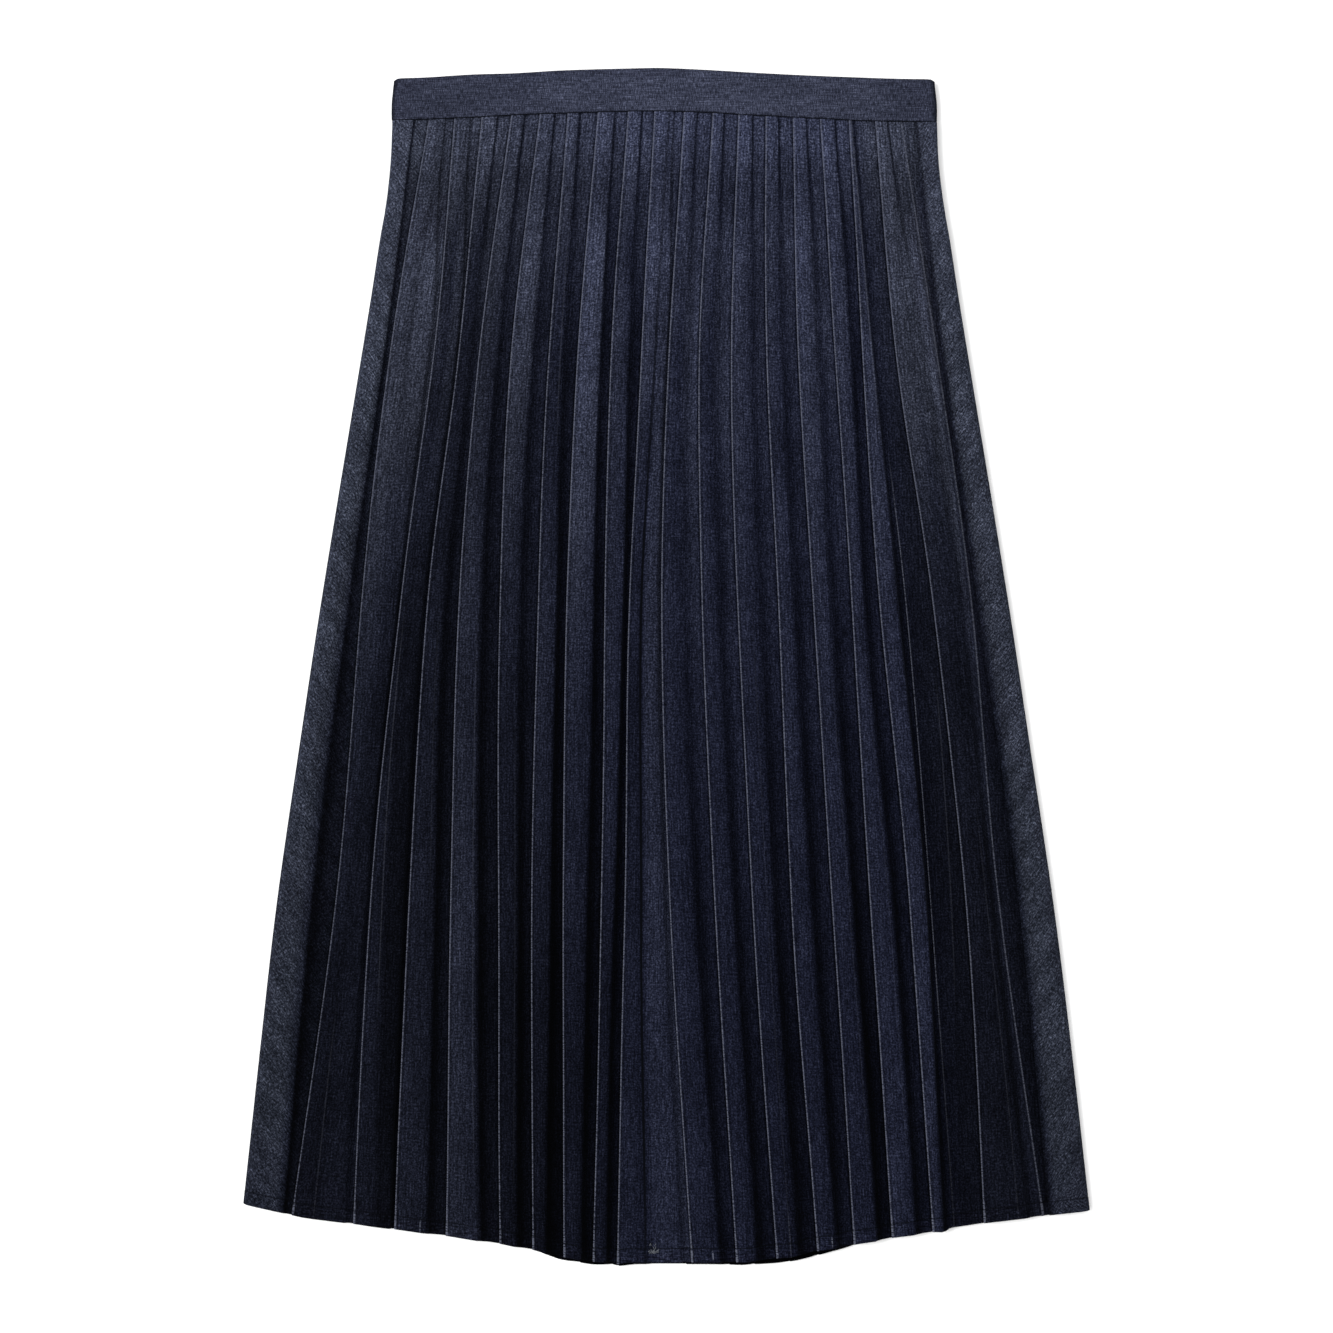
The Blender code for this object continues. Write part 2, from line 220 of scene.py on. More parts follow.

# Painted shade of each pleat's face and of its valley, in steps, with faces painted lit and valleys
# painted in
# shade: over the hip, at the hip, half way down and low on the skirt.
PaintedShade = namedtuple("PaintedShade", "face valley")
PAINTED_SHADES = [
    PaintedShade((10.5, 9.5, 6.5, 3.0), (10.5, 10.0, 3.5, 4.0)),
    PaintedShade((7.0, 6.5, 4.0, 4.5), (8.0, 8.0, 3.0, 0.0)),
    PaintedShade((6.5, 5.0, 4.5, 5.5), (8.0, 6.0, 2.5, 1.5)),
    PaintedShade((8.5, 7.5, 6.5, 6.5), (7.5, 5.0, 3.0, 1.0)),
    PaintedShade((10.0, 9.5, 5.0, 3.0), (7.0, 5.5, 3.5, -0.5)),
    PaintedShade((8.0, 5.5, 6.5, 3.0), (7.5, 4.5, 1.5, -2.0)),
    PaintedShade((10.5, 10.5, 6.5, 4.0), (5.5, 4.5, 2.0, -0.5)),
    PaintedShade((7.5, 8.0, 6.5, 4.0), (8.0, 4.0, 2.0, 0.5)),
    PaintedShade((10.0, 8.5, 4.5, 5.5), (9.5, 8.5, 8.5, 7.5)),
    PaintedShade((9.5, 7.0, 6.5, 6.0), (9.0, 9.0, 6.5, 3.0)),
    PaintedShade((8.5, 7.0, 6.5, 5.5), (9.0, 8.5, 6.0, 2.5)),
    PaintedShade((9.0, 8.5, 6.5, 5.0), (8.0, 7.5, 5.5, 1.5)),
    PaintedShade((8.5, 7.5, 7.0, 5.5), (9.0, 7.0, 5.5, 2.5)),
    PaintedShade((10.0, 9.0, 7.0, 5.5), (9.0, 8.0, 5.0, 0.0)),
    PaintedShade((9.5, 8.5, 7.0, 6.5), (6.5, 5.0, 4.5, 2.5)),
    PaintedShade((7.5, 9.0, 7.0, 7.0), (6.5, 6.0, 3.5, 2.0)),
    PaintedShade((10.0, 9.5, 4.0, 3.5), (11.0, 10.5, 6.0, 4.0)),
]
EDGE_WEAR = 0.65               # paleness of the crease beside the right side strip
FIRST_VALLEY = (7.0, 6.0, 3.5, 2.0)    # painted shade, in steps, of the valley beside the left side strip
LOOSE_VALLEY = (9.0, 8.0, 5.5, 4.0)    # and of those beside the right one

# The folds beside the side strips: where the left strip steps down, the loose crease inside the
# right strip, and that strip's own edge.
Fold = namedtuple("Fold", "seam hip knee calf hem")
LEFT_STEP = Fold(-172.0, -191.5, -215.5, -242.0, -260.5)
RIGHT_CREASE = Fold(159.0, 183.0, 206.0, 224.5, 255.5)
RIGHT_EDGE = Fold(170.0, 187.5, 210.5, 238.5, 260.5)

# How much of its stand a pleat has, from the seam down to the hem.
SWELL = (0.0, 0.35, 0.85, 1.0, 0.8)

# Tones of the side strips, which stay lighter than the pleats towards the hem.
Tone = namedtuple("Tone", "down step")
STRIP_TONES = [
    Tone(0.00, 10.5), Tone(0.06, 10.6), Tone(0.21, 10.3), Tone(0.45, 9.9), Tone(0.70, 9.1),
    Tone(0.90, 8.6), Tone(1.00, 7.5),
]
# How far out from its fold a side strip lies in shadow, and its shade right beside the fold.
Shadow = namedtuple("Shadow", "down width shade")
STRIP_SHADOWS = [
    Shadow(0.00, 2.0, 0.90),
    Shadow(0.12, 2.5, 0.80),
    Shadow(0.25, 4.5, 0.45),
    Shadow(0.48, 11.0, 0.42),
    Shadow(0.66, 9.0, 0.50),
    Shadow(0.85, 6.5, 0.50),
    Shadow(1.00, 5.0, 0.35),
]
DARKEST = 0.05                 # shade of step 0; step 10 is the cloth's own colour
LIGHTER = 1.35                 # how much lighter each step is than the one before
WAIST_FACE = (10.8, 9.2)       # painted shade, in steps, of all faces right under the band, and a little lower down
WAIST_VALLEY = (9.9, 8.1)      # and of all valleys
WAIST_PLACES = (0.025, 0.06)   # where that is
PAINTED_SHADE_PLACES = (0.12, 0.21, 0.50, 0.83)   # and where the pleats have the painted shades of their own table
BY_CREASE = 1.08               # painted light on a face beside its crease, of the face's own shade
BY_END = 0.80                  # and painted shade towards its far end
# Painted shade in the groove beside a face and painted light on the far side of its valley, of the
# valley's shade.
Relief = namedtuple("Relief", "down groove lit")
RELIEF = [
    Relief(0.00, 0.20, 1.10),
    Relief(0.03, 0.25, 1.05),
    Relief(0.07, 0.55, 1.05),
    Relief(0.16, 0.78, 1.10),
    Relief(0.45, 0.60, 1.15),
    Relief(0.75, 0.42, 1.35),
    Relief(1.00, 0.42, 1.35),
]
UNDER = 0.20                   # painted shade of a valley right under the next crease, of its own
CREASE_AT_SEAM = 0.75          # paleness of the creases at the waist seam, of that further down


# ---------------------------------------------------------------- reading the tables
def mix(start, end, share):
    return start + (end - start) * share


def ease(share):
    share = min(max(share, 0.0), 1.0)
    return share * share * (3 - 2 * share)


def straight(rows, at):
    """Read rows of a place and a value by straight lines between them."""
    for (near, low), (far, high) in zip(rows, rows[1:]):
        if at <= far:
            return mix(low, high, max(at - near, 0) / (far - near))
    return rows[-1][1]


def column(table, name, down):
    """A named column of a table, read at a share of the length."""
    return straight([(row.down, getattr(row, name)) for row in table], down)


def smooth(places, values, at):
    """Read values at rising places with a curve that keeps to its points."""
    last = len(places) - 1
    cell = max(i for i in range(last) if at >= places[i]) if at > places[0] else 0
    span = places[cell + 1] - places[cell]

    def slope(i):
        before, after = max(i - 1, 0), min(i + 1, last)
        return (values[after] - values[before]) / (places[after] - places[before])

    t = (at - places[cell]) / span
    start_bend = t * (1 - t) ** 2 * span * slope(cell)
    end_bend = t * t * (1 - t) * span * slope(cell + 1)
    return mix(values[cell], values[cell + 1], t * t * (3 - 2 * t)) + start_bend - end_bend


def side_edges(down):
    """The two side edges of a panel at a share of its length."""
    places, *sides = zip(*OUTLINE)
    return tuple(smooth(places, side, down) * MM for side in sides)


def crease_at(row, down):
    return smooth(STATIONS, row[:5], down) * MM


def band_edge(name, across):
    return smooth([row.across for row in BAND], [getattr(row, name) for row in BAND], across / MM) * MM


def seam_y(across):
    return band_edge("seam", across)


def along_hem(rows, across):
    return straight([(row[0] * MM, row[1] * MM) for row in rows], across)


def length_y(across, down, lips):
    """Y of a point that is so far down and so far across; lips is 1 on the back, 0 on the front."""
    left, right = side_edges(down)
    share = (across - left) / (right - left)
    seam_across = mix(*side_edges(0), share)
    hem_across = mix(*side_edges(1), share)
    bottom = along_hem(HEM, hem_across) - lips * along_hem(LIPS, hem_across)
    return mix(seam_y(seam_across) - SEAM_GAP, bottom, down)


def shade_of(step):
    return DARKEST * LIGHTER ** step


def strip_shade(down):
    return shade_of(column(STRIP_TONES, "step", down))


def pleat_shade(waist, painted, down):
    """Painted shade of a pleat's face or valley: common near the waist, its own from the hip down."""
    places = (0.0, *WAIST_PLACES, *PAINTED_SHADE_PLACES, 1.0)
    steps = (waist[0], *waist, *painted, painted[-1])
    return shade_of(straight(list(zip(places, steps)), down))


# ---------------------------------------------------------------- one line across a panel
Mark = namedtuple("Mark", "point pale begins")


class Line:
    """A folded line across a panel: its points from left to right, their shade and its marks."""

    def __init__(self):
        self.points = []
        self.shades = []
        self.creases = []
        self.ridges = []
        self.parts = []        # for each point, the number of its part
        self.grains = []       # for each part, how far its grain is turned
        self.origins = []      # and the point from which its grain is measured

    def begin_part(self, grain=0.0):
        """A new part, which hangs by its own crease, begins out of sight in an inner fold."""
        self.grains.append(grain)
        self.origins.append(len(self.points))

    def add(self, across, height, shade):
        self.points.append((across, height))
        self.shades.append(shade)
        self.parts.append(len(self.grains) - 1)

    def add_all(self, points):
        for point in points:
            self.add(*point)

    def mark(self, marks, point, pale, lead=0):
        """Mark a point; lead is how many points before it already count as beside it."""
        marks.append(Mark(point, pale, point - lead))

    def turn(self, tip, from_height, to_height, side, steps, shade):
        """A half turn of the cloth out to its tip; side is -1 for left, 1 for right."""
        middle, radius = (from_height + to_height) / 2, abs(to_height - from_height) / 2
        climb = 1 if to_height > from_height else -1
        for step in range(steps + 1):
            angle = math.pi * step / steps - math.pi / 2
            across = tip + side * radius * (math.cos(angle) - 1)
            self.add(across, middle + climb * radius * math.sin(angle), shade)

    def fall(self, start, foot, top, bottom, sharpness, face, groove, lit):
        """The cloth rounds over a shoulder and runs out to its foot."""
        for share in (0.05, 0.13, 0.23, 0.36, 0.52, 0.72, 1.0):
            drop = (1 - math.cos(math.pi * share ** sharpness)) / 2
            # painted shade deepens into the groove past the shoulder, then painted light grows towards
            # the foot
            shade = mix(face, groove, ease(share / 0.26))
            shade = mix(shade, lit, ease((share - 0.3) / 0.7))
            self.add(mix(start, foot, share), mix(top, bottom, drop), shade)


def wander(seed, down, waves=3):
    """A slow, even-handed drift along the length, between about -1 and 1."""
    source = random.Random(seed)
    total = 0.0
    for wave in range(1, waves + 1):
        total += math.sin(TAU * (down * (wave + source.random()) + source.random())) / wave
    return total / 1.5


def strip_way(fold, outer, down, height, wave, tone):
    """Points across a side strip, out of the shadow at its fold to where it rolls down."""
    width = column(STRIP_SHADOWS, "width", down) * MM
    shade = column(STRIP_SHADOWS, "shade", down)
    side = 1 if outer > fold else -1
    lit = fold + side * min(width, 0.75 * abs(outer - fold))
    points = [(mix(fold, lit, share), height + share * wave, mix(shade, 1, share) * tone)
              for share in (0.0, 0.33, 0.66, 1.0)]
    points.append((mix(lit, outer, 0.5), height + wave, tone))
    points.append((outer - side * MM, height + 0.7 * wave, tone))
    return points


def strip_roll(edge, inward, edge_height, height, tone):
    """Points of a side strip from under the side seam, round its edge and up on to the strip."""
    # painted shade under the side seam, fading round the strip's rolled edge
    points = [(edge + math.copysign(1.2 * MM, inward), edge_height - 0.35 * MM, 0.3 * tone)]
    for angle in (0, 20, 42, 66, 90):
        turned = math.radians(angle)
        rim = mix(0.2, 1.0, ease(angle / 45))
        points.append((edge + inward * (1 - math.cos(turned)),
                       mix(edge_height, height, math.sin(turned)), rim * tone))
    return points


def fold_line(down, stand, edge_height):
    """The folded cloth at a share of the length. Heights are from its middle layer."""
    left, right = side_edges(down)
    layer = mix(SEAM_LAYER, LAYER, ease(down / SETTLE))
    low, high = -layer, layer
    opening = ease(down / SETTLE)
    spread = ease((down - 0.02) / SPREAD)
    roll = mix(2 * MM, SIDE_ROLL, ease(down / 0.3))
    swell = stand * smooth(STATIONS, SWELL, down)
    crisp = mix(CREASE_AT_SEAM, 1, ease(down / 0.18))
    creases = []
    for number, row in enumerate(PLEATS):
        sway = 0.35 * MM * opening * wander(SWAY + number, down)
        creases.append(crease_at(row, down) + sway)
    loose = crease_at(RIGHT_CREASE, down)
    strip = crease_at(RIGHT_EDGE, down)
    step = crease_at(LEFT_STEP, down)
    strip_tone = strip_shade(down)
    groove = column(RELIEF, "groove", down)
    lit = column(RELIEF, "lit", down)
    line = Line()

    # left side strip, rolled down to the side seam
    line.begin_part(-BIAS_TURN)
    wave = STRIP_WAVE * opening * wander(LEFT_WAVE, down) * stand
    way = strip_way(step - 0.6 * MM, left + roll, down, high, wave, strip_tone)
    line.add_all(strip_roll(left, roll, edge_height, high, strip_tone) + way[::-1])
    valley = pleat_shade(WAIST_VALLEY, FIRST_VALLEY, down)
    foot = mix(step, creases[0], mix(FOOT_AT_SEAM, 0.75, spread)) - FOOT_CLEAR / 2
    line.fall(way[0][0], foot, high, low, 0.7, way[0][2], groove * valley, lit * valley)

    for number, (row, reach, painted) in enumerate(zip(PLEATS, REACHES, PAINTED_SHADES)):
        crease = creases[number]
        after = creases[number + 1] if number + 1 < len(PLEATS) else loose
        rise = row.stand * MM * swell * (1 + 0.18 * wander(RISE + number, down))
        # painted light on the far side of the valley, then painted shade right under the next crease
        line.add(max(mix(foot, crease, 0.4), crease - UNDER_SPREAD), low, lit * valley)
        line.add(crease - UNDER_CREASE, low, UNDER * valley)
        face = pleat_shade(WAIST_FACE, painted.face, down)
        valley = pleat_shade(WAIST_VALLEY, painted.valley, down)
        # cloth out of sight in the folds gets painted shade
        hidden = 0.5 * valley
        drift = 0.5 * MM * opening * wander(DRIFT + number, down)
        shoulder = mix(crease, after, smooth(STATIONS, reach, down)) - ROUND_OFF + drift
        inner = shoulder - FOLD_OVER
        foot_share = mix(FOOT_AT_SEAM, mix(0.75, 0.95, row.hold), spread)
        foot = min(mix(shoulder, after, foot_share), after - FOOT_CLEAR)
        folds = [(mix(crease, after, smooth(STATIONS, fold[:5], down)), fold)
                 for fold in LOOSE_FOLDS.get(number + 1, ())]
        if folds:
            foot = min(foot, folds[0][0] - FOLD_WIDTH - 0.2 * MM)
        brink = mix(shoulder, foot, row.hold)
        top = high + rise

        # in under the crease, round the inner fold and back out
        line.add(mix(crease, inner, 0.3), low, hidden)
        line.turn(inner, low, rise / 2, 1, 4, hidden)
        line.begin_part()
        line.add(mix(crease, inner, 0.4), rise / 6, hidden)
        line.turn(crease, 0, high, -1, 6, BY_CREASE * face)
        tip = len(line.points) - 4
        line.origins[-1] = tip
        line.mark(line.creases, tip, row.worn * crisp, lead=3)

        # the face, its shoulder over the inner fold, and down to its foot
        start = crease + layer / 2
        for share in (0.25, 0.5, 0.75, 0.95):
            lift = rise * share ** 1.3
            tone = face * mix(BY_CREASE, BY_END, ease((share - 0.35) / 0.6))
            line.add(mix(start, shoulder, share), high + lift, tone)
        worn = straight(RUBS.get(number + 1, NO_RUB), down)
        ridge = len(line.points) - 1
        line.mark(line.ridges, ridge, worn, lead=ridge - tip + 3)
        over = mix(BY_END * face, valley, row.hold)
        for share in (0.3, 0.7):
            line.add(mix(shoulder, brink, share) + share * 0.3 * MM, top, over)
        deep = mix(groove, 1, row.hold) * valley
        line.fall(brink + 0.3 * MM, foot, top, low, row.fall, over, deep, lit * valley)
        for at, fold in folds:
            pale = straight(fold.pale, down)
            # painted shade in the groove before a loose fold, deeper the more the fold shows
            line.add(at - FOLD_WIDTH, low, mix(lit, groove, min(pale, 1)) * valley)
            line.add(at, low + fold.height * MM * pale, valley)
            line.mark(line.ridges, len(line.points) - 1, pale, lead=1)
            line.add(at + FOLD_WIDTH, low, valley)
            foot = at + FOLD_WIDTH

    # the loose crease, then the right side strip over its own inner fold
    # painted shade in the valleys beside the right strip, deeper as the pleats open, and on the
    # strip's fold
    valley = pleat_shade(WAIST_VALLEY, LOOSE_VALLEY, down)
    hidden = 0.5 * valley
    ridge = RIDGE * (0.3 + 0.7 * opening) * max(stand, 0.5)
    line.add(mix(loose, after - FOOT_CLEAR, 0.5), low + 0.3 * ridge, valley)
    line.add(loose, low + ridge, valley)
    line.mark(line.creases, len(line.points) - 1, EDGE_WEAR)
    line.add(loose + 0.9 * MM, low + 0.7 * ridge, valley)
    line.add(mix(loose, strip, 0.45), low + 0.15 * ridge, mix(1, 0.7, opening) * valley)
    line.add(mix(loose, strip, 0.80), low, mix(0.8, 0.5, opening) * valley)
    line.add(mix(strip, strip + SIDE_INNER, 0.4), low, hidden)
    line.turn(strip + SIDE_INNER, low, 0, 1, 4, hidden)
    line.begin_part(BIAS_TURN)
    line.add(mix(strip, strip + SIDE_INNER, 0.4), 0, hidden)
    wave = STRIP_WAVE * opening * wander(RIGHT_WAVE, down) * stand
    way = strip_way(strip + layer / 2, right - roll, down, high, wave, strip_tone)
    line.turn(strip, 0, high, -1, 5, 0.5 * way[0][2])
    line.add_all(way[1:] + strip_roll(right, -roll, edge_height, high, strip_tone)[::-1])
    return line


# ---------------------------------------------------------------- meshes
def piece_of(name, mesh, material, slot, *nodes):
    """A finished piece: smooth, with its material, riding on the skirt's one body."""
    for polygon in mesh.polygons:
        polygon.use_smooth = True
    mesh.set_sharp_from_angle(angle=math.radians(62))
    mesh.materials.append(material)
    obj = bpy.data.objects.new(name, mesh)
    bpy.context.scene.collection.objects.link(obj)
    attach(obj, "root")
    if nodes:
        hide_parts(*nodes)
    return obj


def give_attribute(mesh, name, values):
    attribute = mesh.attributes.new(name, "FLOAT", "POINT")
    attribute.data.foreach_set("value", np.asarray(values, np.float32).ravel())


def give_uv(mesh, across, along):
    """A UV map in metres on the cloth, from one value for each vertex."""
    layer = mesh.uv_layers.new(name="cloth")
    corner = np.zeros(len(mesh.loops), np.int32)
    mesh.loops.foreach_get("vertex_index", corner)
    uv = np.stack([across.ravel()[corner], along.ravel()[corner]], axis=1)
    layer.data.foreach_set("uv", uv.astype(np.float32).ravel())


def away_from(arc, marks):
    """Distance of each point along the cloth from its mark, and that mark's paleness."""
    begins = [mark.begins for mark in marks]
    owner = np.maximum(np.searchsorted(begins, np.arange(len(arc)), side="right") - 1, 0)
    points = np.array([mark.point for mark in marks])[owner]
    return arc - arc[points], np.array([mark.pale for mark in marks])[owner]


def ring_faces(rows, size):
    """Quads between the closed rings of a loft."""
    faces = []
    for row in range(rows - 1):
        here, below = row * size, (row + 1) * size
        for i in range(size):
            after = (i + 1) % size
            faces.append((here + i, below + i, below + after, here + after))
    return faces


def wall_faces(rows, columns):
    """Faces of a wall that is lofted down its length, with its two ends closed."""
    size = 2 * columns
    faces = ring_faces(rows, size)
    last = (rows - 1) * size
    for i in range(columns - 1):
        inner = size - 1 - i
        faces.append((i, i + 1, inner - 1, inner))
        faces.append((last + i + 1, last + i, last + inner, last + inner - 1))
    return faces


def walked_along(points):
    """How far it is along a line to each of its points."""
    return np.concatenate([[0], np.cumsum(np.linalg.norm(np.diff(points, axis=0), axis=1))])


def line_normals(points):
    """Unit normals of a line in the XZ plane, on its left as one walks along it."""
    run = np.gradient(points, axis=0)
    run /= np.linalg.norm(run, axis=1, keepdims=True)
    return np.stack([-run[:, 1], run[:, 0]], axis=1)


def panel_lines():
    """Shares of the length at which the panels' lines lie: closer at the waist and at the hem."""
    near_seam = [0, 0.003, 0.008, 0.016, 0.026, 0.038, 0.052, 0.068, 0.086, 0.106]
    field = list(np.linspace(0.118, 0.972, 62))
    up = (14, 11.5, 10.4, 9.9, 9.6, 9.3, 9.0, 8.6, 7, 5, 3, 1.6, 0.8, 0.45, 0.22, 0.08, 0)
    return near_seam + field + [1 - rise * MM / PANEL_LENGTH for rise in up]


Panel = namedtuple("Panel", "name node turned")
FRONT = Panel("front_panel_cloth", "skirt_front", False)
BACK = Panel("back_panel_cloth", "skirt_back", True)


def panel_middle(panel, down):
    """Height of the middle layer of a panel over the ground."""
    if not panel.turned:
        return FRONT_MIDDLE
    return mix(BACK_SEAM_MIDDLE, CLOTH / 2 + TURN_UP_OUT + LAYER, ease(down / SETTLE))


def panel_line(panel, down):
    """One line of a panel: its centre points and unit normals in space, and the line itself."""
    middle = panel_middle(panel, down)
    edge = middle - BACK_EDGE if panel.turned else FRONT_EDGE - middle
    line = fold_line(down, 0.0 if panel.turned else 1.0, edge)
    flat = np.array(line.points)
    normals = line_normals(flat)
    if panel.turned:
        flat = np.stack([sum(side_edges(down)) - flat[:, 0], -flat[:, 1]], axis=1)
        normals = -normals
    y = [length_y(x, down, 1 if panel.turned else 0) for x in flat[:, 0]]
    centre = np.stack([flat[:, 0], y, middle + flat[:, 1]], axis=1)
    return centre, np.stack([normals[:, 0], np.zeros(len(flat)), normals[:, 1]], axis=1), line


PART_STEP = 0.37               # sets the weave of one pleat apart from the next one's
STRIP_AT_SEAM = 0.5            # how much of a strip's coarser look it has at the waist


def both(values):
    """Values for a line's outer side, and back again along its inner side."""
    values = np.asarray(values, float)
    return np.concatenate([values, values[::-1]])


def panel_cloth(panel, material):
    """Loft a panel's folded cloth, with its turned-up hem, from the waist seam to the hem."""
    downs = panel_lines()
    rings, arcs, lengths, looks = [], [], [], defaultdict(list)
    before, length = None, 0.0
    for down in downs:
        centre, outward, line = panel_line(panel, down)
        length = length + np.linalg.norm(centre - (centre if before is None else before), axis=1)
        before = centre
        from_hem = (1 - down) * PANEL_LENGTH
        turned_up = 1 - ease((from_hem - TURN_UP + HEM_STEP) / HEM_STEP)
        groove = HEM_GROOVE * math.exp(-((from_hem - TURN_UP) / HEM_GROOVE_HALF) ** 2)
        rounding = math.sqrt(1 - max(1 - from_hem / HEM_ROUND, 0) ** 2 * 0.96)
        outer = (CLOTH / 2 + TURN_UP_OUT * turned_up - groove) * rounding
        inner = (CLOTH / 2 + TURN_UP_IN * turned_up) * rounding
        rings.append(np.concatenate([centre + outward * outer, (centre - outward * inner)[::-1]]))

        arc, parts, tones = walked_along(centre), np.array(line.parts), np.array(line.shades)
        arcs.append(both(arc - arc[line.origins][parts] + PART_STEP * parts))
        lengths.append(both(length))
        # painted shade along the hem's edge, on the back's edge below the front and on the cloth's
        # inner side
        rim = mix(HEM_RIM, 1, ease(from_hem / HEM_RIM_HEIGHT))
        lip = np.full(len(arc), rim)
        if panel.turned and from_hem < LIP_ZONE:
            drops = [along_hem(LIPS, x) for x in centre[:, 0]]
            lip = np.array([mix(LIP_RIM, 1, ease((from_hem - d) / HEM_RIM_HEIGHT)) for d in drops])
        turn = both(np.array(line.grains)[parts])
        looks["shade"].append(np.concatenate([rim * tones, INSIDE * (lip * tones)[::-1]]))
        for name, marks in (("crease", line.creases), ("ridge", line.ridges)):
            away, pale = away_from(arc, marks)
            looks[name + "_mm"].append(both((away if name == "crease" else np.abs(away)) / MM))
            looks[name + "_pale"].append(both(pale))
        looks["hem_mm"].append(np.full(len(turn), from_hem / MM))
        looks["strip"].append((turn != 0) * mix(STRIP_AT_SEAM, 1, ease(down / 0.3)))

    mesh = bpy.data.meshes.new(panel.name)
    faces = wall_faces(len(downs), len(rings[0]) // 2)
    mesh.from_pydata(np.concatenate(rings).tolist(), [], faces)
    u, v = np.array(arcs), -np.array(lengths)
    give_uv(mesh, u * np.cos(turn) - v * np.sin(turn), u * np.sin(turn) + v * np.cos(turn))
    for name, values in looks.items():
        give_attribute(mesh, name, values)
    return piece_of(panel.name, mesh, material, "cloth", panel.node)


# ---------------------------------------------------------------- waistband
BAND_WALL = 2.0 * MM
BAND_ROUND = 0.9 * MM          # rounding of its long edges
BAND_COLUMNS = 150             # how many steps it is swept in
BAND_ROLL_FROM = 0.93          # share of the way to an end from which the front rolls down
BAND_SIDE_Z = 3.2 * MM         # height of its middle at the ends
BAND_BULGE = 0.6 * MM          # how far its ends round out between their corners
BAND_CORNER = 1.32 * MM        # how far its top corners drop
BAND_CORNER_FROM = 0.985       # and from which share of the way to an end
BACK_BAND_LOWER = 2.5 * MM     # how far the back's top stays below the front's
PUCKER = 0.07 * MM             # how much the seam puckers it
PUCKERS = 61                   # how many puckers there are
RIPPLE = 0.10 * MM             # and how much it ripples from end to end
RIPPLES = 5.3                  # and how many ripples


def band_profile():
    """Ring round the band's section: share of its height, how far off that, and side (1 to -1)."""
    flat = [0.06, 0.16, 0.28, 0.40, 0.52, 0.64, 0.76, 0.87, 0.95]
    half = [math.radians(angle) for angle in (90, 45, 0, -45, -90)]
    top = [(1, BAND_ROUND * (math.cos(turned) - 1), math.sin(turned)) for turned in half]
    bottom = [(0, BAND_ROUND * (1 - math.cos(turned)), math.sin(turned)) for turned in half[::-1]]
    under = [(share, 0, -1) for share in reversed(flat)]
    return top + under + bottom + [(share, 0, 1) for share in flat]


def band_piece(name, node, front, material):
    """A length of waistband: its rounded section swept from side to side."""
    profile = band_profile()
    rings, across_map, along_map, marks = [], [], [], []
    for station in range(BAND_COLUMNS + 1):
        share = station / BAND_COLUMNS
        side = abs(share * 2 - 1)
        roll = max(side - BAND_ROLL_FROM, 0) / (1 - BAND_ROLL_FROM)
        if front:
            middle = mix(FRONT_MIDDLE, BAND_SIDE_Z, 1 - math.sqrt(max(1 - roll ** 2.4, 0)))
        else:
            middle = BAND_WALL / 2
        corner = BAND_CORNER * max(side - BAND_CORNER_FROM, 0) / (1 - BAND_CORNER_FROM)
        end_mm = (1 - side) * BAND_TOP[1] / MM
        ring = []
        for up, out, way in profile:
            across = mix(mix(*BAND_SEAM, share), mix(*BAND_TOP, share), up)
            across += (share * 2 - 1) * BAND_BULGE * math.sin(math.pi * min(up / 0.85, 1))
            bottom = seam_y(across)
            top = band_edge("top", across) - (0 if front else BACK_BAND_LOWER) - corner
            thick = BAND_WALL / 2
            if abs(way) == 1 and 0 < up < 1 and front:
                pucker = math.sin(TAU * share * PUCKERS + 2 * math.sin(TAU * share * 7))
                thick += PUCKER * pucker * (1 - up) ** 2
                thick += RIPPLE * math.sin(TAU * (share * RIPPLES + up * 0.3))
            up_y = mix(bottom, top, up) + out
            ring.append((across, up_y, middle + way * thick))
            across_map.append(across)
            along_map.append(mix(bottom, top, up) + (0 if way > 0 else 0.05))
            marks.append(((up_y - bottom) / MM, (top - up_y) / MM, end_mm))
        rings.append(ring)
    size = len(profile)
    mesh = bpy.data.meshes.new(name)
    faces = [tuple(reversed(face)) for face in ring_faces(BAND_COLUMNS + 1, size)]
    last = BAND_COLUMNS * size
    faces.append(tuple(range(size)))
    faces.append(tuple(last + i for i in reversed(range(size))))
    mesh.from_pydata([point for ring in rings for point in ring], [], faces)
    give_uv(mesh, np.array(along_map), np.array(across_map))
    for name_of, values in zip(("seam_mm", "top_mm", "end_mm"), zip(*marks)):
        give_attribute(mesh, name_of, values)
    bm = bmesh.new()
    bm.from_mesh(mesh)
    bmesh.ops.recalc_face_normals(bm, faces=bm.faces)
    bm.to_mesh(mesh)
    bm.free()
    return piece_of(name, mesh, material, "band", node)


# ---------------------------------------------------------------- stitches
HEM_STITCH = 3.2 * MM          # from stitch to stitch along the top of the turn-up
SEAM_STITCH = 3.7 * MM         # and along the waist seam
SEAM_STITCHES_TO = 0.975       # share of the way to the front's ends up to which they show
BACKTACK = -8.4 * MM           # where across the skirt the hem's thread is tied off
BACKTACK_RISE = 7.0 * MM       # and how far above the hem
BACKTACK_HALF = 1.9 * MM       # how far it spreads sideways
BACKTACK_HEIGHT = 6.5 * MM     # and upwards
BACKTACK_COUNT = 26


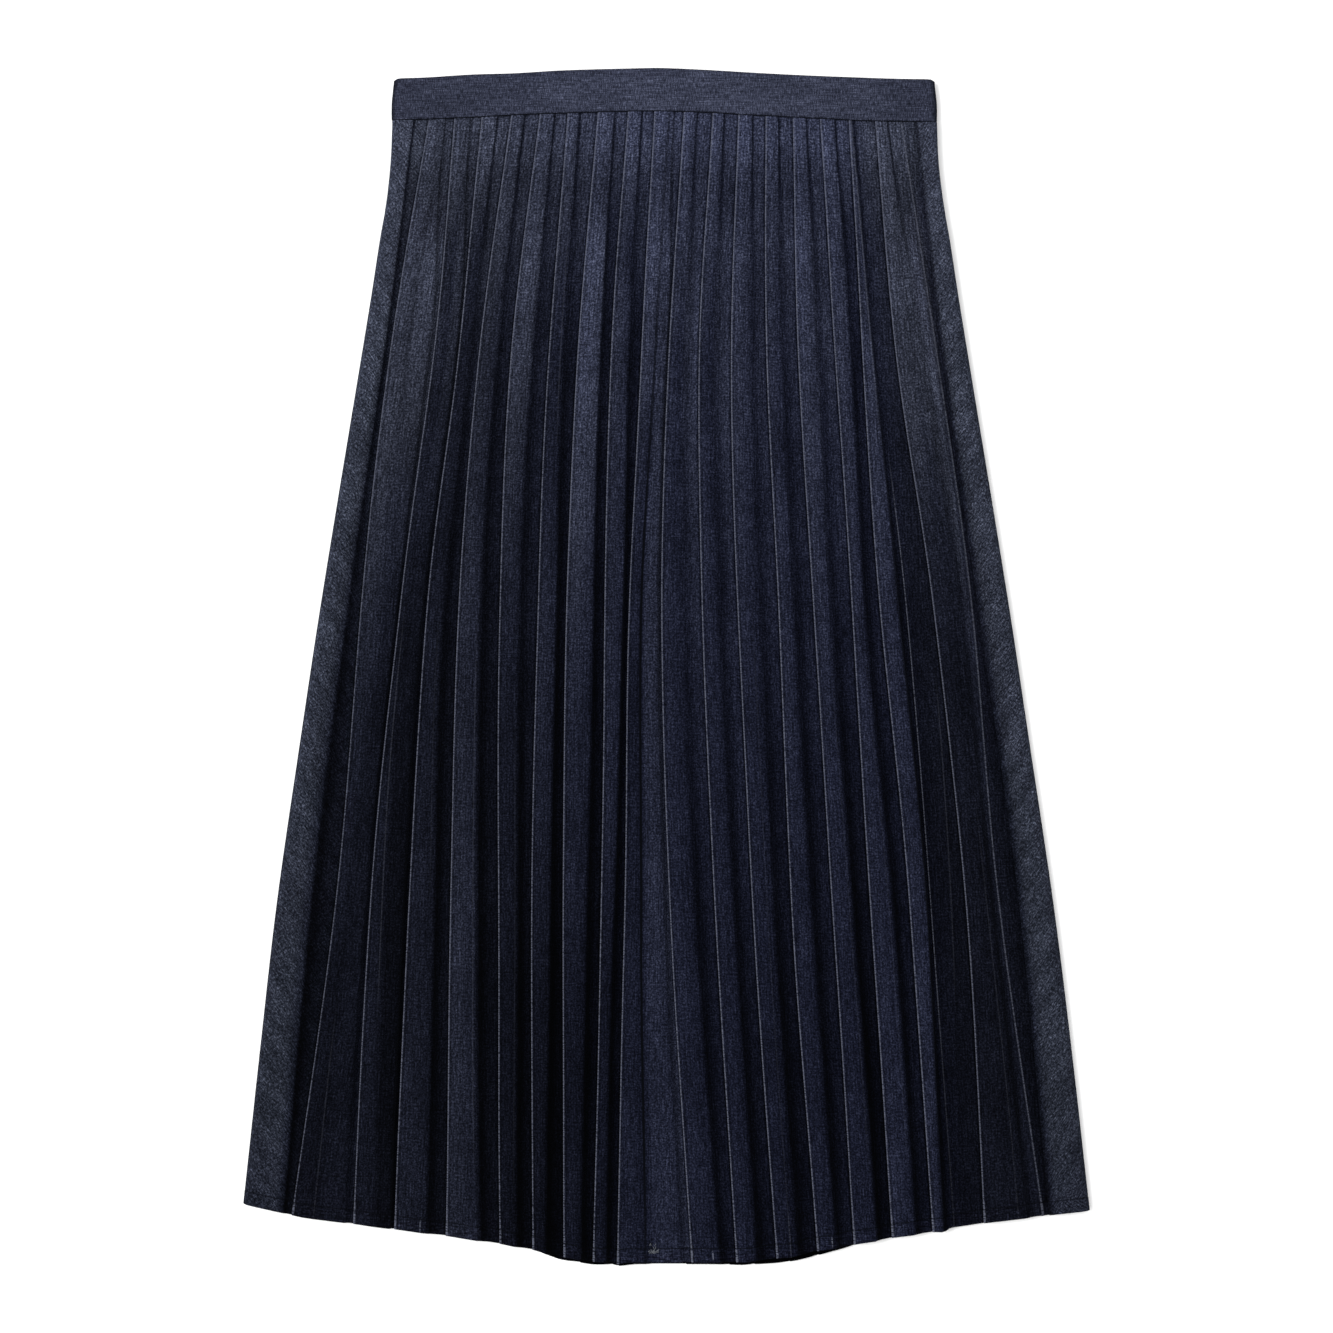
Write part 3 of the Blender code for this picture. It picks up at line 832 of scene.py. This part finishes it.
def model_stitch(length, radius):
    """One stitch along X, rounded off and sunk at both ends: its points and its faces."""
    bpy.ops.object.select_all(action="DESELECT")
    bpy.ops.mesh.primitive_cylinder_add(vertices=6, radius=radius, depth=length,
                                        rotation=(0, math.pi / 2, 0))
    stitch = bpy.context.object
    bpy.ops.object.transform_apply(location=False, rotation=True, scale=False)
    bpy.ops.object.mode_set(mode="EDIT")
    for place in (-0.32 * length, 0.32 * length):
        bpy.ops.mesh.select_all(action="SELECT")
        bpy.ops.mesh.bisect(plane_co=(place, 0, 0), plane_no=(1, 0, 0))
    bm = bmesh.from_edit_mesh(stitch.data)
    for face in bm.faces:
        face.select = abs(face.calc_center_median().x) > 0.49 * length
    bmesh.update_edit_mesh(stitch.data)
    bpy.ops.transform.resize(value=(1, 0.4, 0.4))
    bpy.ops.transform.translate(value=(0, 0, -0.7 * radius))
    bpy.ops.object.mode_set(mode="OBJECT")
    points = np.array([vertex.co[:] for vertex in stitch.data.vertices])
    faces = [tuple(polygon.vertices) for polygon in stitch.data.polygons]
    bpy.data.objects.remove(stitch)
    return points, faces


def stitch_mesh(name, places, length, radius):
    """Copies of one stitch joined; each place is (centre, direction, outward, painted shade)."""
    points, faces = model_stitch(length, radius)
    all_points, all_faces = [], []
    for centre, direction, outward, _ in places:
        axes = np.array([direction, outward.cross(direction), outward])
        first = len(all_points) * len(points)
        all_points.append(np.array(centre) + points @ axes)
        all_faces += [tuple(first + corner for corner in face) for face in faces]
    mesh = bpy.data.meshes.new(name)
    mesh.from_pydata(np.concatenate(all_points).tolist(), [], all_faces)
    give_attribute(mesh, "shade", np.repeat([place[3] for place in places], len(points)))
    return mesh


def hem_stitch_places(panel):
    """Stitches along the top of the turn-up, left out where the cloth turns round a fold."""
    centre, outward, line = panel_line(panel, 1 - TURN_UP / PANEL_LENGTH)
    arc = walked_along(centre)
    pitch = HEM_STITCH
    places = []
    for at in np.arange(pitch, arc[-1] - pitch, pitch):
        ends = []
        for place in (at - 0.35 * pitch, at, at + 0.35 * pitch):
            point = [np.interp(place, arc, centre[:, k]) for k in range(3)]
            normal = [np.interp(place, arc, outward[:, k]) for k in range(3)]
            ends.append((Vector(point), Vector(normal).normalized()))
        (start, start_out), (_, out), (end, end_out) = ends
        if start_out.dot(end_out) < 0.85:
            continue
        sunk = 0.15 * MM if out.z < -0.5 else 0.0
        centre_of = (start + end) / 2 + out * (CLOTH / 2 + 0.02 * MM - sunk)
        # each stitch takes the painted shade of the cloth it lies on
        shade = min(1, np.interp(at, arc, line.shades))
        places.append((centre_of, (end - start).normalized(), out, shade))
    return places


def seam_stitch_places(front):
    """Small stitches in the ditch under the waistband."""
    places = []
    start, end = BAND_SEAM[0] + 3 * MM, BAND_SEAM[1] - 3 * MM
    height = BACK_SEAM_MIDDLE - SEAM_LAYER - 0.1 * MM
    if front:
        height = FRONT_MIDDLE + SEAM_LAYER + CLOTH / 2
    for i in range(int((end - start) / SEAM_STITCH) + 1):
        x = start + i * SEAM_STITCH + rng.uniform(-0.15, 0.15) * MM
        if front and abs(x) > SEAM_STITCHES_TO * BAND_SEAM[1]:
            continue
        slope = (seam_y(x + MM) - seam_y(x - MM)) / (2 * MM)
        direction = Vector((1, slope, 0)).normalized()
        outward = Vector((0, 0, 1 if front else -1))
        places.append((Vector((x, seam_y(x) - 0.15 * MM, height)), direction, outward, 1.0))
    return places


def surface_at(panel, down, across):
    """The highest point over a place of a panel's centre line at a share of its length."""
    centre, _, _ = panel_line(panel, down)
    crossings = []
    for here, after in zip(centre, centre[1:]):
        if min(here[0], after[0]) <= across < max(here[0], after[0]):
            share = (across - here[0]) / (after[0] - here[0])
            crossings.append(mix(here, after, share))
    return Vector(max(crossings, key=lambda point: point[2]))


def backtack_places():
    """Short pale stitches that tie off the hem's thread, thinning out upwards and to the sides."""
    places = []
    for _ in range(BACKTACK_COUNT):
        across = BACKTACK + rng.gauss(0, 1) * BACKTACK_HALF
        rise = BACKTACK_RISE + BACKTACK_HEIGHT * rng.random() ** 2.2
        place = surface_at(FRONT, 1 - rise / PANEL_LENGTH, across)
        direction = Vector((rng.uniform(-0.8, 0.8), 1, 0)).normalized()
        centre = place + Vector((0, 0, CLOTH / 2 + 0.12 * MM))
        places.append((centre, direction, Vector((0, 0, 1)), 1.0))
    return places


# ---------------------------------------------------------------- materials
class Finish:
    """A material being made, with short words for its nodes."""

    def __init__(self, name):
        self.material = bpy.data.materials.new(name)
        self.material.use_nodes = True
        self.tree = self.material.node_tree
        self.shader = self.tree.nodes["Principled BSDF"]

    def node(self, kind, inputs=(), **settings):
        node = self.tree.nodes.new(kind)
        for key, value in settings.items():
            setattr(node, key, value)
        for key, value in dict(inputs).items():
            self.feed(node.inputs[key], value)
        return node

    def feed(self, socket, value):
        if isinstance(value, bpy.types.NodeSocket):
            self.tree.links.new(value, socket)
        else:
            socket.default_value = value

    def number(self, operation, *values):
        return self.node("ShaderNodeMath", dict(enumerate(values)), operation=operation).outputs[0]

    def ramp(self, value, low, high, to_low=0.0, to_high=1.0):
        """Map a value's range from low to high, with soft ends, on to another range."""
        node = self.node("ShaderNodeMapRange", interpolation_type="SMOOTHSTEP")
        names = ("Value", "From Min", "From Max", "To Min", "To Max")
        for name, setting in zip(names, (value, low, high, to_low, to_high)):
            self.feed(node.inputs[name], setting)
        return node.outputs["Result"]

    def blend(self, factor, first, second):
        """A colour between two others."""
        node = self.node("ShaderNodeMix", data_type="RGBA")
        for socket, value in zip((node.inputs[0], node.inputs[6], node.inputs[7]),
                                 (factor, first, second)):
            self.feed(socket, value)
        return node.outputs[2]

    def over(self, colour, top, *amounts):
        """A colour with another laid over it, as strongly as the amounts multiplied."""
        strength = amounts[0]
        for amount in amounts[1:]:
            strength = self.number("MULTIPLY", strength, amount)
        return self.blend(strength, colour, top)

    def scaled(self, colour, factor):
        """A colour made lighter or darker."""
        node = self.node("ShaderNodeVectorMath", {0: colour, "Scale": factor}, operation="SCALE")
        return node.outputs[0]

    def attribute(self, name):
        return self.node("ShaderNodeAttribute", attribute_name=name).outputs["Fac"]

    def stretched(self, scale, turn=0.0):
        """The cloth's UV map in units of so many across and along a metre."""
        uv = self.node("ShaderNodeUVMap", uv_map="cloth").outputs["UV"]
        node = self.node("ShaderNodeMapping", {"Vector": uv})
        node.inputs["Rotation"].default_value = (0, 0, turn)
        node.inputs["Scale"].default_value = (*scale, 1)
        return node.outputs["Vector"]

    def noise(self, scale, detail=2.0, roughness=0.5):
        settings = {"Vector": self.stretched(scale), "Scale": 1.0, "Detail": detail,
                    "Roughness": roughness}
        return self.node("ShaderNodeTexNoise", settings).outputs["Fac"]

    def near(self, distance, full, none):
        """1 where a distance is under full, running out to 0 at none."""
        return self.ramp(self.number("ABSOLUTE", distance), full, none, 1.0, 0.0)


# How strongly each kind of unevenness lightens or darkens the yarns, in doublings.
Heather = namedtuple("Heather", "warp hairs weft twill streak speck cloud")
PLEAT_HEATHER = Heather(warp=1.1, hairs=0.6, weft=0.6, twill=0.0, streak=0.0, speck=2.5, cloud=0.5)
STRIP_HEATHER = Heather(warp=0.9, hairs=0.0, weft=0.4, twill=1.9, streak=0.7, speck=2.1, cloud=0.2)
BAND_HEATHER = Heather(warp=0.9, hairs=0.9, weft=1.9, twill=0.0, streak=0.0, speck=1.6, cloud=0.4)


def heathered(finish, base, weights, fineness=1.0):
    """The dyed yarns before shade and wear: dark and pale threads both ways, with slubs."""
    def yarns(across, along, low, detail=3.0, roughness=0.6):
        noise = finish.noise((across * fineness, along * fineness), detail, roughness)
        return finish.ramp(noise, low, 1 - low, -0.5, 0.5)

    parts = Heather(
        warp=yarns(1000, 110, 0.36),
        hairs=yarns(860, 24, 0.36, 2.0, 0.5),
        weft=yarns(120, 950, 0.36),
        twill=yarns(1500, 380, 0.34),
        streak=yarns(150, 20, 0.34, 2.0, 0.5),
        speck=yarns(850, 740, 0.34, 3.0, 0.7),
        cloud=yarns(38, 16, 0.30, 2.0, 0.5),
    )
    total = 0.0
    for part, weight in zip(parts, weights):
        total = finish.number("MULTIPLY_ADD", part, weight, total)
    bright = finish.number("POWER", 2.0, total)
    pale = finish.ramp(bright, 1.2, 2.6, 0.0, 0.35)
    colour = finish.blend(pale, base, UNDYED)
    return finish.scaled(colour, bright), parts


def weave_bump(finish, parts, strength):
    """Fine twill ribs with the yarns' own unevenness."""
    vector = finish.stretched((1000, 1000), math.radians(27))
    twill = finish.node("ShaderNodeTexWave", {"Vector": vector, "Scale": 0.36, "Distortion": 1.2},
                        wave_type="BANDS", bands_direction="X").outputs["Fac"]
    height = finish.number("MULTIPLY_ADD", twill, 0.6, finish.number("MULTIPLY", parts.warp, 0.3))
    height = finish.number("MULTIPLY_ADD", parts.weft, 0.2, height)
    bump = finish.node("ShaderNodeBump", {"Height": height, "Strength": strength,
                                          "Distance": 0.25 * MM})
    finish.feed(finish.shader.inputs["Normal"], bump.outputs["Normal"])


def matt_cloth(finish, colour, roughness=0.9, sheen=0.012):
    shader = finish.shader.inputs
    finish.feed(shader["Base Color"], colour)
    shader["Roughness"].default_value = roughness
    shader["Specular IOR Level"].default_value = 0.015
    shader["Sheen Weight"].default_value = sheen
    shader["Sheen Roughness"].default_value = 0.45
    shader["Sheen Tint"].default_value = (0.70, 0.78, 1.0, 1.0)


INDIGO = (0.0168, 0.0196, 0.0364, 1.0)
INDIGO_GREYER = (0.0180, 0.0206, 0.0324, 1.0)     # the dye's greyer cast on both sides
INDIGO_STRIP = (0.0161, 0.0189, 0.0286, 1.0)      # and so have the side strips
INDIGO_BAND = (0.0195, 0.0221, 0.0370, 1.0)
UNDYED = (0.0240, 0.0260, 0.0340, 1.0)            # pale fibres in the dyed yarn
WORN = (0.0680, 0.0735, 0.0990, 1.0)              # dye rubbed off a pressed crease
DEEP_SHADE = (0.0011, 0.0013, 0.0022, 1.0)              # painted shade at the bottom of seams, sunk lines and edges
DARK_SHADE_CAST = (0.85, 0.88, 1.08, 1.0)                   # the bluer cast of the painted shade in the dark valleys
CREASE_LINE = 0.55                                # mm from a crease's tip to its worn line
BESIDE_CREASE = 2.0                               # and to the line of painted shade beside it
HALF_WIDTH = 0.231                                # half the skirt's width at Y 0
NARROWING = -0.134                                # and its change for each metre towards the waist
GREYER_RIGHT = (0.66, 0.80)                       # shares of it over which the dye turns greyer
GREYER_LEFT = (-0.16, 0.02)                       # and the same on the left, in metres across


def pleated_cloth():
    finish = Finish("indigo_pleated_cloth")
    place = finish.node("ShaderNodeTexCoord").outputs["Object"]
    axes = finish.node("ShaderNodeSeparateXYZ", {0: place}).outputs
    half_width = finish.number("MULTIPLY_ADD", axes["Y"], NARROWING, HALF_WIDTH)
    to_right = finish.ramp(finish.number("DIVIDE", axes["X"], half_width), *GREYER_RIGHT)
    to_left = finish.ramp(axes["X"], *GREYER_LEFT, 1.0, 0.0)
    base = finish.blend(finish.number("MAXIMUM", to_left, to_right), INDIGO, INDIGO_GREYER)
    strip = finish.attribute("strip")
    base = finish.blend(strip, base, INDIGO_STRIP)
    hem = finish.attribute("hem_mm")
    weights = Heather(*(finish.number("MULTIPLY_ADD", strip, there - here, here)
                        for here, there in zip(PLEAT_HEATHER, STRIP_HEATHER)))
    turned_up = finish.ramp(hem, TURN_UP / MM - 0.7, TURN_UP / MM, 1.0, 0.0)
    weights = weights._replace(weft=finish.number("ADD", weights.weft, turned_up))
    colour, parts = heathered(finish, base, weights)
    # the shade attribute: painted light and shade of faces, valleys, grooves and rims, with the
    # strips' tones down their length, and a bluer cast where it is darkest
    shade = finish.attribute("shade")
    cast = finish.blend(finish.ramp(shade, 0.10, 0.70), DARK_SHADE_CAST, (1.0, 1.0, 1.0, 1.0))
    inputs = {0: colour, 1: cast}
    colour = finish.node("ShaderNodeVectorMath", inputs, operation="MULTIPLY").outputs[0]
    colour = finish.scaled(colour, shade)

    # painted shade beside a pressed crease, where the cloth dips a little
    from_crease = finish.attribute("crease_mm")
    beside = finish.near(finish.number("SUBTRACT", from_crease, BESIDE_CREASE), 0.30, 1.00)
    beside = finish.number("MULTIPLY", beside, finish.attribute("crease_pale"))
    colour = finish.scaled(colour, finish.ramp(beside, 0.0, 1.0, 1.0, 0.72))

    # pale pressed creases, worn in dashes where the yarns cross the fold, wider at the hem
    ragged = finish.ramp(finish.noise((90, 420), 3.0, 0.6), 0.30, 0.70, 0.75, 1.25)
    widen = finish.number("MULTIPLY", finish.ramp(hem, 2.0, 22.0, 2.1, 1.0), ragged)
    faintest = finish.ramp(hem, 10.0, 60.0, 0.05, 0.22)
    dashes = finish.ramp(finish.noise((420, 1150)), 0.36, 0.58, faintest, 1.0)
    away = finish.number("SUBTRACT", from_crease, CREASE_LINE)
    line = finish.near(finish.number("DIVIDE", away, widen), 0.20, 0.62)
    colour = finish.over(colour, WORN, line, finish.attribute("crease_pale"), dashes)

    # fainter wear over the inner fold, and painted shade of a sunk line where the value is negative
    from_ridge, worn = finish.attribute("ridge_mm"), finish.attribute("ridge_pale")
    pale = finish.number("MAXIMUM", worn, 0.0)
    colour = finish.over(colour, WORN, finish.near(from_ridge, 0.15, 0.60), pale, dashes)
    sunk = finish.number("MAXIMUM", finish.number("MULTIPLY", worn, -1.0), 0.0)
    colour = finish.over(colour, DEEP_SHADE, finish.near(from_ridge, 0.50, 1.15), sunk)

    # painted shade in the sunk line of the hem's stitches
    from_stitches = finish.number("SUBTRACT", hem, TURN_UP / MM)
    colour = finish.over(colour, DEEP_SHADE, finish.near(from_stitches, 0.20, 0.80), 0.55)
    weave_bump(finish, parts, 0.5)
    matt_cloth(finish, colour)
    return finish.material


def band_cloth():
    finish = Finish("indigo_waistband_cloth")
    colour, parts = heathered(finish, INDIGO_BAND, BAND_HEATHER, fineness=2.1)
    lighter = finish.ramp(finish.attribute("end_mm"), 20.0, 140.0, 0.88, 1.08)
    colour = finish.scaled(colour, lighter)
    # painted shade in the seam's ditch, along the top edge and at the rolled ends
    for name, full, none, depth in (("seam_mm", 0.1, 0.6, 0.50), ("top_mm", 0.1, 0.8, 0.60),
                                    ("end_mm", 0.4, 4.0, 0.75)):
        colour = finish.over(colour, DEEP_SHADE, finish.near(finish.attribute(name), full, none), depth)
    weave_bump(finish, parts, 0.45)
    matt_cloth(finish, colour)
    return finish.material


def thread(name, base):
    """Twisted sewing thread."""
    finish = Finish(name)
    position = finish.node("ShaderNodeTexCoord").outputs["Object"]
    ply = finish.node("ShaderNodeTexWave", {"Vector": position, "Scale": 900.0, "Distortion": 2.0},
                      wave_type="BANDS", bands_direction="DIAGONAL").outputs["Fac"]
    # painted shade between the plies, and the painted shade of the cloth each stitch lies on
    dark = tuple(0.55 * c for c in base[:3]) + (1.0,)
    colour = finish.scaled(finish.blend(ply, dark, base), finish.attribute("shade"))
    matt_cloth(finish, colour, roughness=0.6)
    return finish.material


# ---------------------------------------------------------------- ground, light and camera
def ground():
    bpy.ops.object.select_all(action="DESELECT")
    bpy.ops.mesh.primitive_plane_add(size=8, location=(0, 0, -0.2 * MM))
    obj = bpy.context.object
    obj.name = "ground"
    bpy.ops.object.transform_apply(location=True, rotation=False, scale=False)
    material = bpy.data.materials.new("pale_ground")
    material.use_nodes = True
    shader = material.node_tree.nodes["Principled BSDF"].inputs
    shader["Base Color"].default_value = (0.90, 0.90, 0.90, 1)
    shader["Roughness"].default_value = 0.9
    shader["Specular IOR Level"].default_value = 0.1
    obj.data.materials.append(material)


def studio():
    scene = bpy.context.scene
    scene.view_settings.view_transform = "Standard"
    world = bpy.data.worlds.new("studio")
    world.use_nodes = True
    sky = world.node_tree.nodes["Background"].inputs
    sky["Color"].default_value = (1.0, 1.0, 1.0, 1)
    sky["Strength"].default_value = 1.15
    scene.world = world
    key = bpy.data.lights.new("key", "SUN")
    key.energy = 2.8
    key.angle = math.radians(30)
    lamp = bpy.data.objects.new("key", key)
    toward = Vector((0.75, -0.20, -0.80))
    lamp.rotation_mode = "QUATERNION"
    lamp.rotation_quaternion = toward.to_track_quat("-Z", "Y")
    scene.collection.objects.link(lamp)


CAMERA_LENS = 100.0
SENSOR = 36.0
FRAME_SIDE = 0.9064            # what the square picture takes in at the skirt's height


def camera():
    data = bpy.data.cameras.new("camera")
    data.lens = CAMERA_LENS
    data.sensor_width = SENSOR
    obj = bpy.data.objects.new("camera", data)
    distance = FRAME_SIDE * CAMERA_LENS / SENSOR
    obj.location = (0.0, 0.0, distance + FRONT_MIDDLE)
    bpy.context.scene.collection.objects.link(obj)
    bpy.context.scene.camera = obj


# ---------------------------------------------------------------- putting it together
bpy.ops.object.select_all(action="DESELECT")
camera()
studio()
ground()

cloth = pleated_cloth()
band = band_cloth()
front = panel_cloth(FRONT, cloth)
back = panel_cloth(BACK, cloth)
front_band = band_piece("front_waistband_cloth", "waistband_front", True, band)
back_band = band_piece("back_waistband_cloth", "waistband_back", False, band)

hem_thread = thread("hem_thread", (0.011, 0.013, 0.022, 1))
seam_thread = thread("seam_thread", (0.002, 0.0025, 0.004, 1))
stitches = {}
for panel in (FRONT, BACK):
    name = panel.name.replace("panel_cloth", "hem_stitches")
    mesh = stitch_mesh(name, hem_stitch_places(panel), 0.72 * HEM_STITCH, 0.16 * MM)
    stitches[name] = piece_of(name, mesh, hem_thread, "cloth")
for name, at_front in (("front_waist_stitches", True), ("back_waist_stitches", False)):
    mesh = stitch_mesh(name, seam_stitch_places(at_front), 0.62 * SEAM_STITCH, 0.27 * MM)
    stitches[name] = piece_of(name, mesh, seam_thread, "band")

loose_thread = thread("backtack_thread", (0.100, 0.108, 0.122, 1))
mesh = stitch_mesh("hem_backtack", backtack_places(), 1.7 * MM, 0.17 * MM)
backtack = piece_of("hem_backtack", mesh, loose_thread, "cloth")

stitches["front_hem_stitches"]
stitches["back_hem_stitches"]
stitches["front_waist_stitches"]
stitches["back_waist_stitches"]
